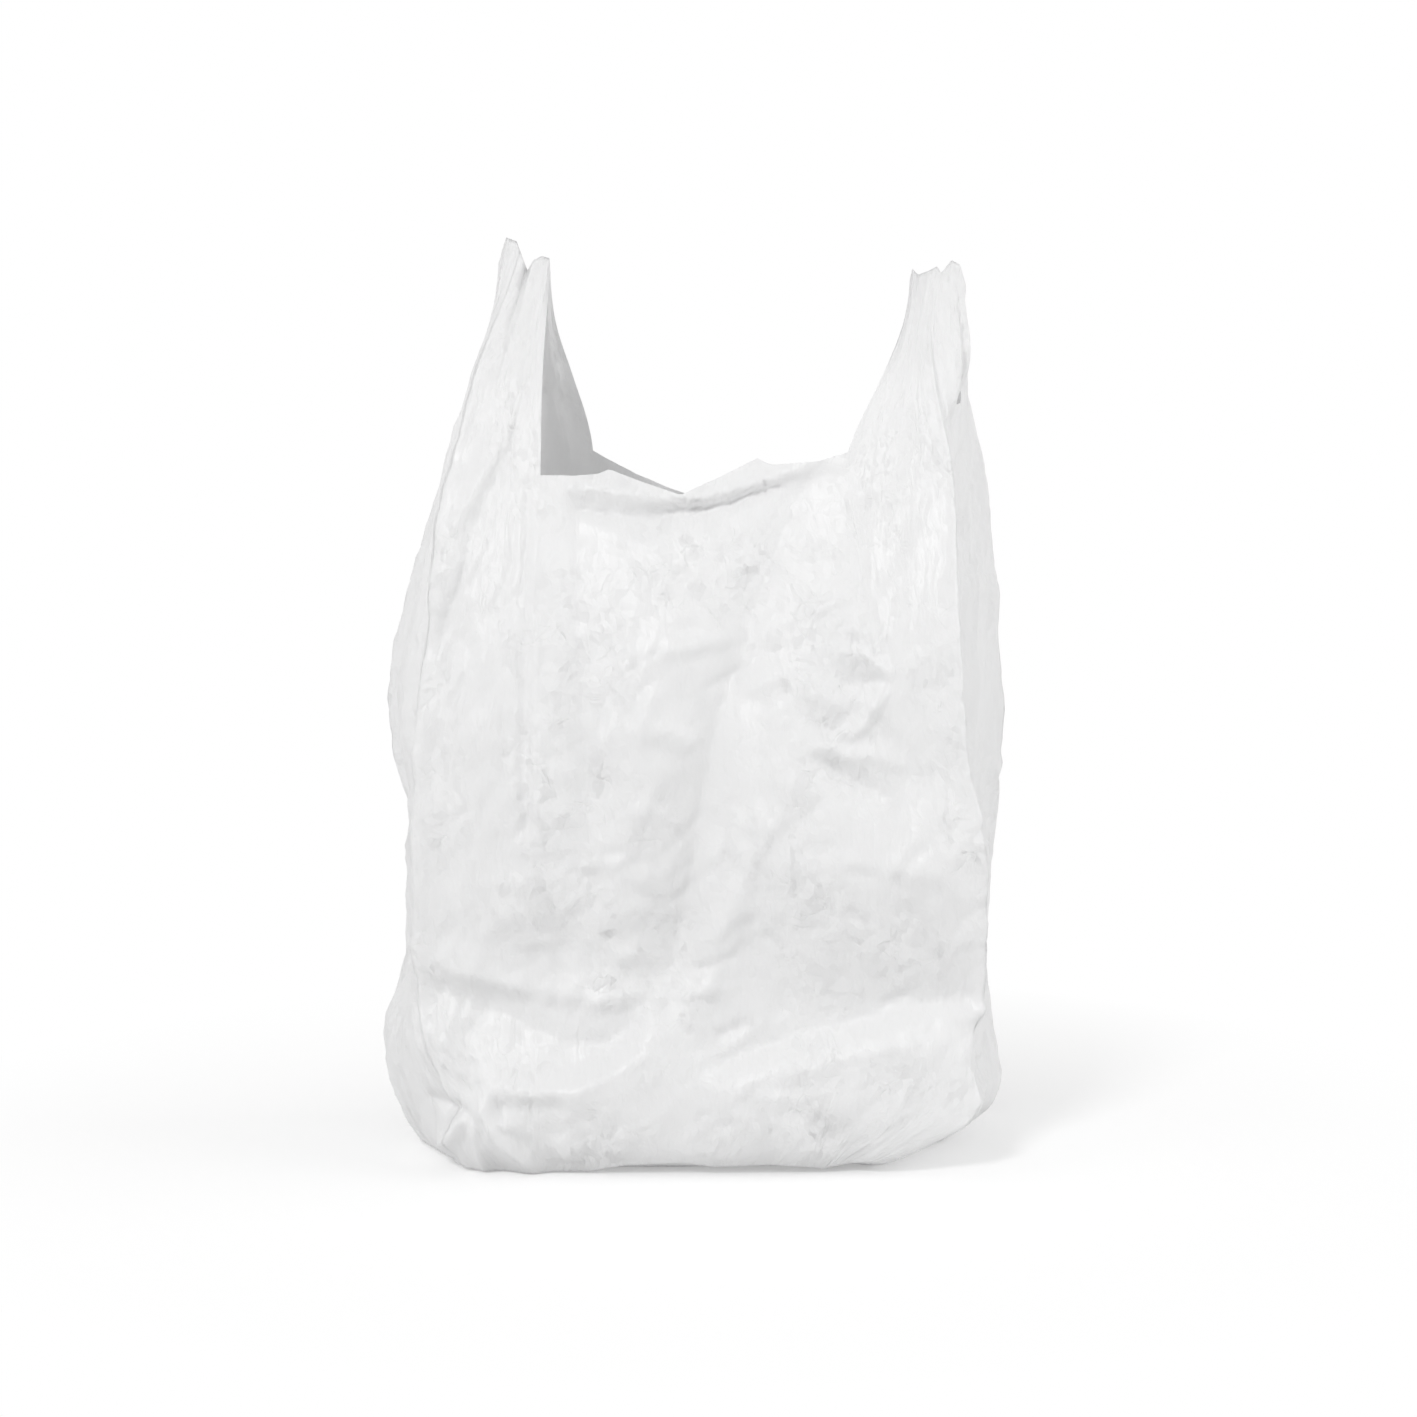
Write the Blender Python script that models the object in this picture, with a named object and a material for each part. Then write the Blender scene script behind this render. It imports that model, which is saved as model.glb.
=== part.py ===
"""White film vest bag, standing open with its two handles drawn up.

The bag is one piece: a side-gusseted tube of thin film, sealed across the bottom and
across the top of each handle, with the mouth cut out between the handles.
Lengths are in millimetres and become metres when the mesh is made. The front faces -Y.
"""

import math

import bpy
import numpy as np

MM = 0.001

# Film: one column of the tube is 12.7 mm of film, and each is cut into finer steps
WALL = 0.5
COLUMN_WIDTH = 12.7
FINE = 3
TRIANGLE_SHARE = 0.142

# Columns counted from the front left fold, seen from above anticlockwise
FRONT_LEFT = 0
FRONT_RIGHT = 24
RIGHT_FOLD = 30
BACK_RIGHT = 36
BACK_LEFT = 60
LEFT_FOLD = 66
COLUMNS = 72
HANDLE_COLUMNS = 6
SLOT_COLUMNS = 1

# Rows: floor to mouth, then mouth to handle top
BODY_ROWS = 66
HANDLE_ROWS = 26

# The upright lines of the bag: column, then where it stands in x at these heights
HEIGHTS = (0, 12, 30, 55, 88, 140, 210, 280, 340, 380, 410, 446)
LINES_X = {
    0: (-112, -119, -120, -129, -136, -136, -133, -124, -114, -107, -103, -98),
    6: (-73, -74, -75, -75, -75, -76, -77, -76, -75, -75, -75, -74),
    18: (54, 60, 66, 68, 70, 70, 70, 70, 69, 84, 96, 104),
    24: (78, 100, 130, 137, 139, 137, 126, 121, 120, 111, 106, 106),
    30: (120, 136, 145, 140, 134, 128, 122, 120, 122, 128, 129, 127),
    36: (139, 147, 150, 146, 145, 150, 155, 148, 139, 131, 128, 127),
    42: (66, 68, 70, 72, 72, 72, 74, 76, 76, 88, 98, 106),
    54: (-70, -70, -70, -70, -70, -70, -66, -60, -53, -61, -69, -73),
    60: (-134, -143, -150, -154, -147, -147, -158, -143, -123, -109, -101, -97),
    66: (-138, -146, -153, -154, -138, -130, -126, -120, -115, -109, -102, -97),
}
CORNER_DEPTH = (58, 67, 73, 72, 68, 74, 76, 68, 51, 33, 17, 5)
FRONT_BULGE = (6, 8, 9, 8, 6, 9, 12, 8, -2, 0, 0, 0)
BACK_BULGE = (8, 10, 12, 12, 10, 12, 14, 8, -4, 0, 0, 0)

# Height of the cut edge round the mouth, by column
MOUTH_EDGE = (
    (0, 345), (6, 337), (7.3, 336), (8.3, 338), (8.7, 342), (9.9, 335), (11.6, 328),
    (13.2, 336), (14.5, 344), (15.1, 341), (17, 343), (18, 347), (24, 352), (29, 366),
    (30, 371), (31, 366), (36, 352), (42, 334), (43.5, 326), (45.7, 323), (48, 310),
    (49.8, 309), (51.6, 320), (53.4, 331), (54, 338), (60, 348), (65, 358), (66, 363),
    (67, 358), (72, 345),
)

# Sealed top of each handle: share across it, then x, y and height of the seal
HANDLE_TOPS = {
    "left": (
        (0, -72, 2, 431), (0.1, -72, -2, 437), (0.24, -76, 1, 438), (0.36, -80, -1, 436),
        (0.44, -83, 2, 431), (0.5, -85, -2, 437), (0.62, -88, 1, 445), (0.76, -93, -1, 447),
        (0.88, -97, 2, 444), (1, -99, 0, 438),
    ),
    "right": (
        (0, 102, 1, 427), (0.12, 103, -2, 432), (0.2, 106, 1, 429), (0.38, 111, -1, 431),
        (0.52, 115, 1, 433), (0.58, 117, -2, 430), (0.75, 122, 1, 436), (0.88, 126, -1, 434),
        (1, 129, 0, 424),
    ),
}
SLOT_OPENING = 12.0

# Long creases running up into the handles: column, height, half widths in columns to the
# lower and higher side, and the heights they start and end at
GATHERS = (
    (-0.3, 3, 1.2, 0.9, 190, 432), (1.8, 2.5, 1.2, 1.2, 335, 425), (3.8, -2.2, 0.8, 0.8, 330, 400),
    (5.1, -2, 0.5, 0.4, 370, 405), (-2.4, -3, 1.0, 1.3, 120, 345), (-4.2, 3, 1.2, 1.0, 150, 400),
    (21.0, 1.5, 2.0, 1.6, 300, 430), (23.7, 3, 2.2, 0.5, 190, 428), (24.7, -2.5, 0.7, 1.1, 320, 430),
    (27.2, 4, 2.2, 0.6, 345, 432), (28.2, -3, 0.6, 1.4, 300, 432), (26.4, 3, 1.0, 1.2, 110, 330),
    (32.5, 3, 1.2, 1.2, 150, 430), (37.4, 3, 1.2, 1.2, 150, 420), (40.2, -3, 1.1, 1.1, 250, 430),
    (55.4, -3, 0.8, 1.0, 330, 432), (56.8, 4, 1.0, 1.0, 320, 432), (58.4, -4, 1.0, 1.0, 320, 432),
    (62.6, 4, 1.3, 1.3, 150, 430),
)
GATHER_FADE = 45

# Large folds of the front, each a line of (x, z) points, its height out of the panel, and
# how far it reaches to the left and to the right of the line's direction
FRONT_FOLDS = (
    (((-75, 350), (-75, 290), (-74, 230), (-74, 185), (-73, 130)), 8, 20, 50),
    (((-58, 326), (-59, 280), (-57, 245), (-54, 205), (-50, 155)), -5, 24, 14),
    (((-67, 331), (-45, 329), (-25, 327), (5, 325), (20, 329), (44, 337), (60, 344)), 5, 9, 5),
    (((-67, 322), (-45, 319), (-27, 317), (2, 321), (20, 326), (44, 334), (58, 341)), -6, 5, 13),
    (((56, 344), (46, 321), (35, 299), (27, 274), (18, 247), (8, 226), (1, 185), (-5, 140),
      (-14, 88)), -10, 30, 34),
    (((54, 212), (46, 196), (39, 178), (27, 161), (15, 135), (4, 112)), 5.5, 16, 32),
    (((-6, 286), (14, 302), (38, 324)), 3, 24, 22),
    (((84, 330), (81, 300), (80, 262)), -3, 14, 14),
    (((20, 160), (60, 150), (95, 152), (126, 146)), 6, 46, 62),
    (((-4, 51), (20, 60), (44, 70), (81, 78), (105, 84), (140, 88)), -6, 30, 9),
    (((8, 44), (40, 54), (85, 64), (126, 68)), 5, 12, 34),
    (((-18, 92), (-22, 77), (-27, 64), (-41, 53), (-57, 47), (-79, 45), (-97, 48), (-108, 54)),
     9, 26, 10),
    (((-126, 98), (-102, 90), (-83, 81), (-64, 74), (-46, 72), (-26, 84)), -8, 26, 11),
    (((-98, 35), (-78, 38), (-64, 38), (-38, 42), (-10, 50)), -5, 6, 15),
)

# Smaller creases and facets of the front, written in the same way
FRONT_CREASES = (
    (((49, 273), (66, 278)), 3, 10, 5),
    (((66, 268), (84, 262)), 3.5, 10, 6),
    (((60, 257), (77, 254), (91, 242)), 4.5, 9, 8),
    (((65, 242), (88, 239)), -3, 6, 12),
    (((20, 236), (41, 246), (66, 230)), 3, 10, 7),
    (((72, 213), (89, 242)), 4.5, 8, 5),
    (((52, 213), (80, 231)), -3, 8, 7),
    (((52, 209), (70, 198), (80, 191), (92, 185)), -3.5, 6, 16),
    (((-21, 254), (1, 259), (20, 263)), 3, 8, 6),
    (((-19, 242), (-30, 214)), 3, 7, 6),
    (((-33, 216), (-14, 219), (-2, 210)), 3.5, 7, 8),
    (((-48, 198), (-45, 215), (-35, 225)), 3, 6, 9),
    (((-76, 121), (-62, 122)), -3, 5, 8),
    (((-47, 115), (-39, 122)), -3, 4, 5),
    (((-46, 106), (-30, 109), (-13, 104)), 4, 12, 5),
    (((-55, 87), (-40, 87), (-27, 90), (1, 91), (14, 96)), 3, 6, 4),
    (((40, 38), (60, 24), (80, 6)), -4, 9, 9),
    (((-111, 32), (-125, 8)), 4.5, 6, 6),
    (((-111, 32), (-103, 1)), 4.5, 7, 5),
    (((-111, 32), (-142, 33)), -3, 6, 6),
    (((-108, 42), (-97, 20), (-76, 1)), 6, 8, 10),
    (((-103, 42), (-100, 34), (-95, 28), (-86, 26)), 3.5, 5, 5),
    (((-128, 75), (-118, 58), (-108, 44)), 4, 8, 8),
    (((-112, 48), (-124, 62)), 4, 9, 7),
    (((-60, 8), (-66, 24)), 3, 9, 9),
)
FOLD_SHARPNESS = 1.25
FOLD_ROUND = 2.5
FOLD_TAPER = 0.25

# Crumples all over: cell size across and up, height, and the seed of the pattern
CRUMPLES = ((46, 60, 7.5, 3), (25, 31, 5, 8))
CRUMPLED_PATCH = 75

# Floor edge: how far the film lifts off the floor, by column
FLOOR_LIFT = (
    (0, 1), (4, 0), (9, 1), (12, 4), (14, 1), (19, 0), (22, 4), (25, 3), (28, 0), (34, 2),
    (38, 0), (46, 3), (52, 0), (58, 2), (64, 0), (70, 2), (72, 1),
)
FLOOR_MARGIN = 0.12

# Bottom seal: its lift off the floor, how wide it is, and how far its ends stop short
SEAL_LIFT = 2.5
SEAL_HALF_WIDTH = 7.0
SEAL_ENDS = 0.28


def smooth_curve(knots, values, at):
    """Smooth curve through the knots."""
    knots = np.asarray(knots, float)
    values = np.asarray(values, float)
    slopes = np.gradient(values, knots)
    at = np.clip(at, knots[0], knots[-1])
    k = np.clip(np.searchsorted(knots, at, side="right") - 1, 0, len(knots) - 2)
    span = knots[k + 1] - knots[k]
    t = (at - knots[k]) / span
    return (
        (2 * t**3 - 3 * t**2 + 1) * values[k]
        + (t**3 - 2 * t**2 + t) * span * slopes[k]
        + (3 * t**2 - 2 * t**3) * values[k + 1]
        + (t**3 - t**2) * span * slopes[k + 1]
    )


def smooth_step(low, high, at):
    t = np.clip((at - low) / (high - low), 0, 1)
    return t * t * (3 - 2 * t)


def pairs(table, at):
    """Straight-line reading of a table of (place, value) pairs."""
    return np.interp(at, *zip(*table))


def outline(column, z):
    """Plan position (x, y) of the smooth bag at each column and height."""
    column = column % COLUMNS
    keys = sorted(LINES_X)
    lines = np.array([smooth_curve(HEIGHTS, LINES_X[k], z) for k in keys + [0]])
    around = np.array(keys + [COLUMNS])
    k = np.clip(np.searchsorted(around, column, side="right") - 1, 0, len(keys) - 1)
    t = (column - around[k]) / (around[k + 1] - around[k])
    n = np.arange(len(column))
    x = lines[k, n] * (1 - t) + lines[k + 1, n] * t
    side = (FRONT_LEFT, FRONT_RIGHT, RIGHT_FOLD, BACK_RIGHT, BACK_LEFT, LEFT_FOLD, COLUMNS)
    y = smooth_curve(HEIGHTS, CORNER_DEPTH, z) * np.interp(column, side, (-1, -1, 0, 1, 1, 0, -1))
    front = np.clip(column / FRONT_RIGHT, 0, 1)
    back = np.clip((column - BACK_RIGHT) / (BACK_LEFT - BACK_RIGHT), 0, 1)
    y -= smooth_curve(HEIGHTS, FRONT_BULGE, z) * 4 * front * (1 - front)
    y += smooth_curve(HEIGHTS, BACK_BULGE, z) * 4 * back * (1 - back)
    return np.stack((x, y), -1)


def outward(column, z):
    """Horizontal direction out of the film."""
    along = outline(column + 1, z) - outline(column - 1, z)
    normal = np.stack((along[:, 1], -along[:, 0]), -1)
    return normal / np.linalg.norm(normal, axis=1)[:, None]


def fold(points, height, left, right, x, z):
    """Height of one fold over the places (x, z): a crest that falls away to each side."""
    line = np.array(points, float)
    total = np.linalg.norm(np.diff(line, axis=0), axis=1).sum()
    nearest = np.full(x.shape, np.inf)
    side = np.ones(x.shape)
    along = np.zeros(x.shape)
    done = 0.0
    for a, b in zip(line, line[1:]):
        step = b - a
        length = np.linalg.norm(step)
        t = np.clip(((x - a[0]) * step[0] + (z - a[1]) * step[1]) / length**2, 0, 1)
        dx, dz = x - a[0] - t * step[0], z - a[1] - t * step[1]
        distance = np.hypot(dx, dz)
        closer = distance < nearest
        nearest = np.where(closer, distance, nearest)
        side = np.where(closer, step[0] * dz - step[1] * dx, side)
        along = np.where(closer, (done + t * length) / total, along)
        done += length
    reach = np.where(side > 0, left, right)
    nearest = np.hypot(nearest, FOLD_ROUND) - FOLD_ROUND
    slope = np.clip(1 - nearest / reach, 0, 1) ** FOLD_SHARPNESS
    taper = np.clip(np.minimum(along, 1 - along) / FOLD_TAPER, 0, 1)
    return height * slope * taper * (2 - taper)


def scatter(i, j, seed):
    """Repeatable number between 0 and 1 for each lattice point."""
    value = np.sin(i * 127.1 + j * 311.7 + seed * 74.7) * 43758.5453
    return value - np.floor(value)


def crumple(s, z, across, up, height, seed):
    """Facets between scattered points, closed round the tube."""
    count = round(COLUMNS * COLUMN_WIDTH / across)
    u, v = s / (COLUMNS * COLUMN_WIDTH) * count, z / up
    i0, j0 = np.floor(u), np.floor(v)
    result = np.zeros(s.shape)
    found = np.zeros(s.shape, bool)

    def corner(i, j):
        wrapped = i % count
        px = i + 0.5 + 0.8 * (scatter(wrapped, j, seed) - 0.5)
        pz = j + 0.5 + 0.8 * (scatter(wrapped, j, seed + 5) - 0.5)
        return px, pz, scatter(wrapped, j, seed + 11) - 0.5

    for di in (-1, 0, 1):
        for dj in (-1, 0, 1):
            i, j = i0 + di, j0 + dj
            for a, b, c in (((0, 0), (1, 0), (1, 1)), ((0, 0), (1, 1), (0, 1))):
                ax, az, ah = corner(i + a[0], j + a[1])
                bx, bz, bh = corner(i + b[0], j + b[1])
                cx, cz, ch = corner(i + c[0], j + c[1])
                area = (bx - ax) * (cz - az) - (bz - az) * (cx - ax)
                wb = ((u - ax) * (cz - az) - (v - az) * (cx - ax)) / area
                wc = ((bx - ax) * (v - az) - (bz - az) * (u - ax)) / area
                inside = (wb >= 0) & (wc >= 0) & (wb + wc <= 1) & ~found
                result = np.where(inside, ah + wb * (bh - ah) + wc * (ch - ah), result)
                found |= inside
    return height * result


def patches(s, z):
    """Share of crumpling, changing smoothly from calm to crumpled areas."""
    count = round(COLUMNS * COLUMN_WIDTH / CRUMPLED_PATCH)
    u, v = s / (COLUMNS * COLUMN_WIDTH) * count, z / CRUMPLED_PATCH
    i, j = np.floor(u), np.floor(v)
    a, b = smooth_step(0, 1, u - i), smooth_step(0, 1, v - j)
    low = scatter(i % count, j, 2) * (1 - a) + scatter((i + 1) % count, j, 2) * a
    high = scatter(i % count, j + 1, 2) * (1 - a) + scatter((i + 1) % count, j + 1, 2) * a
    return 0.45 + 0.9 * (low * (1 - b) + high * b)


def relief(column, z, plan):
    """How far folds, gathers and crumples push the film out at each place."""
    column = column % COLUMNS
    out = np.zeros(z.shape)
    front = np.minimum(column + 3, FRONT_RIGHT + 3 - column)
    front = np.where(column > COLUMNS - 3, column + 3 - COLUMNS, front)
    front = np.clip(front / 2, 0, 1) * np.clip((352 - z) / 14, 0, 1)
    for table in (FRONT_FOLDS, FRONT_CREASES):
        folds = np.array([fold(*line, plan[:, 0], z) for line in table])
        out += front * (folds.max(0) + folds.min(0))
    for centre, height, low, high, start, end in GATHERS:
        away = (column - centre + COLUMNS / 2) % COLUMNS - COLUMNS / 2
        across = np.clip(1 - np.abs(away) / np.where(away < 0, low, high), 0, 1)
        rise = np.clip((z - start) / GATHER_FADE, 0, 1) * np.clip((end - z) / GATHER_FADE, 0, 1)
        out += height * across * rise
    calm = smooth_step(0, 25, z) * (1 - 0.65 * smooth_step(300, 390, z))
    calm = calm * patches(column * COLUMN_WIDTH, z)
    for across, up, height, seed in CRUMPLES:
        out += calm * crumple(column * COLUMN_WIDTH, z, across, up, height, seed)
    return out


def film(column, z):
    """Points of the folded film."""
    plan = outline(column, z)
    out = relief(column, z, plan)
    plan = plan + outward(column, z) * out[:, None]
    return np.column_stack((plan, z))


def body(column, row):
    """Film between the floor and the level of the mouth."""
    rise = (row / BODY_ROWS) ** 1.15
    low = pairs(FLOOR_LIFT, column % COLUMNS)
    high = pairs(MOUTH_EDGE, column % COLUMNS)
    return film(column, low + (high - low) * rise)


def handle_share(column):
    """Which handle a column belongs to, and how far out it is: 0 mouth side, 1 outside."""
    left = column > COLUMNS - 1e-6 or (column > (BACK_RIGHT + BACK_LEFT) / 2) or column < FRONT_RIGHT / 2
    middle = LEFT_FOLD if left else RIGHT_FOLD
    away = abs((column - middle + COLUMNS / 2) % COLUMNS - COLUMNS / 2)
    width = HANDLE_COLUMNS + RIGHT_FOLD - FRONT_RIGHT - SLOT_COLUMNS
    return "left" if left else "right", 1 - (away - SLOT_COLUMNS) / width


def handle(column, row):
    """Film of a handle, from the level of the mouth to the sealed top."""
    rise = (row - BODY_ROWS) / HANDLE_ROWS
    start = pairs(MOUTH_EDGE, column % COLUMNS)
    side, share = handle_share(column)
    places = np.array(HANDLE_TOPS[side]).T
    top = np.array([np.interp(share, places[0], places[k]) for k in (1, 2, 3)])
    z = start + (top[2] - start) * rise
    x, y, _ = film(np.array([column]), np.array([z]))[0]
    slot = SLOT_OPENING * math.sin(math.pi * rise) * max(0.0, 3 * share - 2)
    back = BACK_RIGHT - 6 < column % COLUMNS < LEFT_FOLD
    y = max(y, slot) if back else min(y, -slot)
    gather = rise**2.2
    closing = math.sqrt(1 - rise**3) if rise < 1 else 0.0
    return np.array((x + (top[0] - x) * gather, y * closing + top[1] * gather, z))


def steps(low, high):
    """Fine column numbers from low to high, both included."""
    direction = 1 if high > low else -1
    return [low + direction * k / FINE for k in range(abs(high - low) * FINE + 1)]


def straps():
    """Columns of each strap, from the mouth side to the outside."""
    reach, slot = HANDLE_COLUMNS, SLOT_COLUMNS
    return (
        ("left", True, steps(COLUMNS + reach, LEFT_FOLD + slot)),
        ("left", False, steps(BACK_LEFT - reach, LEFT_FOLD - slot)),
        ("right", False, steps(FRONT_RIGHT - reach, RIGHT_FOLD - slot)),
        ("right", True, steps(BACK_RIGHT + reach, RIGHT_FOLD + slot)),
    )


def base_patch(loop):
    """Bottom of the bag, spanning the floor loop, with the raised seal across it."""
    across, deep = FRONT_RIGHT * FINE, (BACK_RIGHT - FRONT_RIGHT) * FINE
    front = loop[: across + 1]
    right = loop[across : across + deep + 1]
    back = loop[BACK_RIGHT * FINE : BACK_LEFT * FINE + 1][::-1]
    left = np.vstack((loop[:1], loop[BACK_LEFT * FINE :][::-1]))
    u = np.linspace(0, 1, across + 1)[:, None, None]
    v = np.linspace(0, 1, deep + 1)[None, :, None]
    points = (
        (1 - v) * front[:, None] + v * back[:, None] + (1 - u) * left[None] + u * right[None]
        - (1 - u) * (1 - v) * front[0] - u * (1 - v) * front[-1]
        - (1 - u) * v * back[0] - u * v * back[-1]
    )
    u, v = u[:, :, 0], v[:, :, 0]
    edge = np.minimum(np.minimum(u, 1 - u) * 2, np.minimum(v, 1 - v)) / FLOOR_MARGIN
    points[:, :, 2] *= np.clip(1 - edge, 0, 1)
    depth = points[:, -1:, 1] - points[:, :1, 1]
    ends = np.clip((SEAL_ENDS - np.minimum(u, 1 - u)) / SEAL_ENDS, 0, 1)
    seal = 0.5 + 0.42 * ends * np.sign(v - 0.5)
    near = np.clip(1 - np.abs(v - seal) * depth / SEAL_HALF_WIDTH, 0, 1)
    points[:, :, 2] += SEAL_LIFT * near * np.clip(edge - 0.2, 0, 1)
    return points


def bag_surface():
    """Vertices and quads of the film's outer face."""
    vertices, faces, index = [], [], {}
    ring = COLUMNS * FINE
    columns = np.arange(ring) / FINE

    def add(key, point):
        if key not in index:
            index[key] = len(vertices)
            vertices.append(point)
        return index[key]

    for row in range(BODY_ROWS + 1):
        for c, point in enumerate(body(columns, row)):
            add((c, row), point)
    for row in range(BODY_ROWS):
        for c in range(ring):
            d = (c + 1) % ring
            faces.append((index[c, row], index[d, row], index[d, row + 1], index[c, row + 1]))

    top_row = BODY_ROWS + HANDLE_ROWS
    for side, flip, strap in straps():
        keys = [round(c * FINE) % ring for c in strap]
        grid = [[index[c, BODY_ROWS] for c in keys]]
        for row in range(BODY_ROWS + 1, top_row):
            grid.append([add((c, row), handle(place, row)) for c, place in zip(keys, strap)])
        grid.append([add((side, k), handle(place, top_row)) for k, place in enumerate(strap)])
        for low, high in zip(grid, grid[1:]):
            for k in range(len(strap) - 1):
                quad = (low[k], low[k + 1], high[k + 1], high[k])
                faces.append(quad[::-1] if flip else quad)

    patch = base_patch(np.array(vertices[:ring]))
    across, deep = patch.shape[0] - 1, patch.shape[1] - 1

    def base_index(i, j):
        if j == 0:
            return index[i, 0]
        if i == across:
            return index[across + j, 0]
        if j == deep:
            return index[BACK_LEFT * FINE - i, 0]
        if i == 0:
            return index[ring - j, 0]
        return add(("base", i, j), patch[i, j])

    for i in range(across):
        for j in range(deep):
            quad = (base_index(i, j), base_index(i, j + 1), base_index(i + 1, j + 1))
            faces.append(quad + (base_index(i + 1, j),))
    return np.array(vertices), faces


def centred(vertices):
    """Stands the film on z = 0 with its bounding box centred over the origin."""
    low, high = vertices.min(0), vertices.max(0)
    return vertices - ((low[0] + high[0]) / 2, (low[1] + high[1]) / 2, low[2])


def film_material():
    material = bpy.data.materials.new("white_film")
    material.use_nodes = True
    shader = material.node_tree.nodes["Principled BSDF"]
    shader.inputs["Base Color"].default_value = (0.9, 0.9, 0.9, 1)
    shader.inputs["Roughness"].default_value = 0.4
    shader.inputs["Metallic"].default_value = 0.0
    return material


def main():
    for obj in list(bpy.data.objects):
        bpy.data.objects.remove(obj)
    vertices, faces = bag_surface()
    mesh = bpy.data.meshes.new("bag_film")
    mesh.from_pydata((centred(vertices) * MM).tolist(), [], faces)
    mesh.materials.append(film_material())
    mesh.shade_smooth()
    bag = bpy.data.objects.new("bag_film", mesh)
    bpy.context.scene.collection.objects.link(bag)
    fewer = bag.modifiers.new("Fewer triangles", "DECIMATE")
    fewer.ratio = TRIANGLE_SHARE
    wall = bag.modifiers.new("Film wall", "SOLIDIFY")
    wall.thickness = WALL * MM
    wall.offset = -1
    wall.use_quality_normals = True


main()
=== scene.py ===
"""White film vest bag: the film at full detail, with its material, lights and camera."""
import math

import bpy
import numpy as np
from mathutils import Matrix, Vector


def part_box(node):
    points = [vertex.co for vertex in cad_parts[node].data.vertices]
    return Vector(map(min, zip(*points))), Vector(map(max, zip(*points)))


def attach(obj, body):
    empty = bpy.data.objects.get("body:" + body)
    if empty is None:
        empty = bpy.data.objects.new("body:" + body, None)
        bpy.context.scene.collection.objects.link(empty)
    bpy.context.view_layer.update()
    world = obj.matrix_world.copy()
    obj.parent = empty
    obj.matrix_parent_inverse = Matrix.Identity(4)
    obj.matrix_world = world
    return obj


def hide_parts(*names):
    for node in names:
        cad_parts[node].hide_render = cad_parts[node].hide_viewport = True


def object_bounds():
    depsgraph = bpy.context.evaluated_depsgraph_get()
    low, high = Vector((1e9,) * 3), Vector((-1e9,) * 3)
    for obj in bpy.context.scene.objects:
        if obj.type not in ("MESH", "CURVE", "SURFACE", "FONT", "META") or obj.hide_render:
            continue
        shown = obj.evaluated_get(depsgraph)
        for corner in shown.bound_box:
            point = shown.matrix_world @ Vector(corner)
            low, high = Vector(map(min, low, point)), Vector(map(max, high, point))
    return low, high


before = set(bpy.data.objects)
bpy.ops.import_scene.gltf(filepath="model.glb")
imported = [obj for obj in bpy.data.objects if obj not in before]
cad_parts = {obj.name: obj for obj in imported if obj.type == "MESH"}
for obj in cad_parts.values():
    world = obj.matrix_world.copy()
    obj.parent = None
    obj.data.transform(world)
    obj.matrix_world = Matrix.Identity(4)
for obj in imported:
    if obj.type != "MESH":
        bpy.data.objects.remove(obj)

cad_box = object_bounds()

MM = 0.001

# Film: one column of the tube is 12.7 mm of film, and each is cut into finer steps
COLUMN_WIDTH = 12.7
FINE = 6

# Columns counted from the front left fold, seen from above anticlockwise
FRONT_LEFT = 0
FRONT_RIGHT = 24
RIGHT_FOLD = 30
BACK_RIGHT = 36
BACK_LEFT = 60
LEFT_FOLD = 66
COLUMNS = 72

# Each strap: its columns of panel, the columns between the fold and its slot, and its width
HANDLE_COLUMNS = 6
SLOT_COLUMNS = 1
STRAP_COLUMNS = HANDLE_COLUMNS + RIGHT_FOLD - FRONT_RIGHT - SLOT_COLUMNS

# Rows: floor to mouth, each a little taller than the one below, then mouth to handle top
BODY_ROWS = 150
ROW_GROWTH = 1.15
HANDLE_ROWS = 50

# The upright lines of the bag: column, then where it stands in x at these heights
HEIGHTS = (0, 12, 30, 55, 88, 140, 210, 280, 340, 380, 410, 446)
LINES_X = {
    0: (-112, -119, -120, -129, -136, -136, -133, -124, -114, -107, -103, -98),
    6: (-73, -74, -75, -75, -75, -76, -77, -76, -75, -75, -75, -74),
    18: (54, 60, 66, 68, 70, 70, 70, 70, 69, 84, 96, 104),
    24: (78, 100, 130, 137, 139, 137, 126, 121, 120, 111, 106, 106),
    30: (120, 136, 145, 140, 134, 128, 122, 120, 122, 128, 129, 127),
    36: (139, 147, 150, 146, 145, 150, 155, 148, 139, 131, 128, 127),
    42: (66, 68, 70, 72, 72, 72, 74, 76, 76, 88, 98, 106),
    54: (-70, -70, -70, -70, -70, -70, -66, -60, -53, -61, -69, -73),
    60: (-134, -143, -150, -154, -147, -147, -158, -143, -123, -109, -101, -97),
    66: (-138, -146, -153, -154, -138, -130, -126, -120, -115, -109, -102, -97),
}
CORNER_DEPTH = (58, 67, 73, 72, 68, 74, 76, 68, 51, 33, 17, 5)
FRONT_BULGE = (6, 8, 9, 8, 6, 9, 12, 8, -2, 0, 0, 0)
BACK_BULGE = (8, 10, 12, 12, 10, 12, 14, 8, -4, 0, 0, 0)

# Height of the cut edge round the mouth, by column
MOUTH_EDGE = (
    (0, 345), (6, 337), (7.3, 336), (8.3, 337), (8.7, 339), (9.9, 334), (11.6, 327.5),
    (13.2, 336), (14.5, 344), (15.1, 341), (17, 343), (18, 347), (24, 352), (29, 366),
    (30, 367), (31, 366), (36, 352), (42, 334), (43.5, 326), (45.7, 323), (48, 312),
    (49.2, 316), (50.4, 320.5), (52, 328), (53.4, 336), (54, 340), (60, 348), (65, 358), (66, 359),
    (67, 358), (72, 345),
)

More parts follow.
